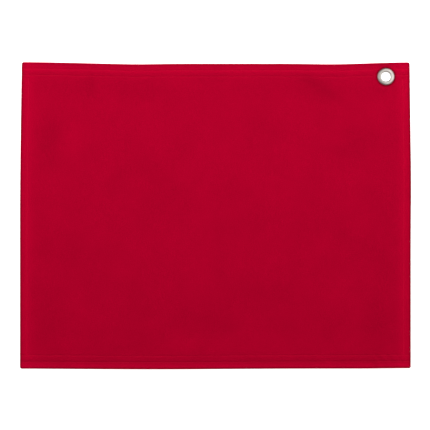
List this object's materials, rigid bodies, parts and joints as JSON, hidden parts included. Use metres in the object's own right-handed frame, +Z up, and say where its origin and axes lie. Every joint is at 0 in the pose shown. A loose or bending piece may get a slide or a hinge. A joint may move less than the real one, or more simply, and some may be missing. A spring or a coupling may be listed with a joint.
{
  "type": "golf towel",
  "caption": "Rectangular velour golf towel with turned and stitched hems and a round metal eyelet in one corner, folding in half across its middle.",
  "frame": {"origin": "middle of the towel on the surface that it lies on", "axes": "+X along the long side, towards the edge with the eyelet; +Y towards the top edge; +Z up out of the velour front"},
  "size_m": [0.5, 0.391, 0.0051],
  "materials": {
    "velour_terry": "red cotton, sheared velour front, terry loop back",
    "polyester_thread": "red spun polyester sewing thread, matched to the cloth",
    "nickel_plate": "bright nickel plate on brass"
  },
  "bodies": {
    "right_half": {"panel_right": "velour_terry", "side_hem_right": "velour_terry", "top_hem_right": "velour_terry", "bottom_hem_right": "velour_terry", "eyelet_flange": "nickel_plate", "eyelet_washer": "nickel_plate", "needle_thread_side_right": "polyester_thread", "bobbin_thread_side_right": "polyester_thread", "needle_thread_top_outer_right": "polyester_thread", "bobbin_thread_top_outer_right": "polyester_thread", "needle_thread_top_outer_corner": "polyester_thread", "bobbin_thread_top_outer_corner": "polyester_thread", "needle_thread_top_inner_right": "polyester_thread", "bobbin_thread_top_inner_right": "polyester_thread", "needle_thread_top_inner_corner": "polyester_thread", "bobbin_thread_top_inner_corner": "polyester_thread", "needle_thread_bottom_outer_right": "polyester_thread", "bobbin_thread_bottom_outer_right": "polyester_thread", "needle_thread_bottom_inner_right": "polyester_thread", "bobbin_thread_bottom_inner_right": "polyester_thread"},
    "left_half": {"panel_left": "velour_terry", "side_hem_left": "velour_terry", "top_hem_left": "velour_terry", "bottom_hem_left": "velour_terry", "needle_thread_side_left": "polyester_thread", "bobbin_thread_side_left": "polyester_thread", "needle_thread_top_outer_left": "polyester_thread", "bobbin_thread_top_outer_left": "polyester_thread", "needle_thread_top_inner_left": "polyester_thread", "bobbin_thread_top_inner_left": "polyester_thread", "needle_thread_bottom_outer_left": "polyester_thread", "bobbin_thread_bottom_outer_left": "polyester_thread", "needle_thread_bottom_inner_left": "polyester_thread", "bobbin_thread_bottom_inner_left": "polyester_thread"}
  },
  "joints": [
    {"name": "fold_in_half", "type": "hinge", "parent": "right_half", "child": "left_half", "pos_m": [0, 0, 0.00525], "axis": [0, 1, 0], "range_deg": [0, 180]}
  ]
}
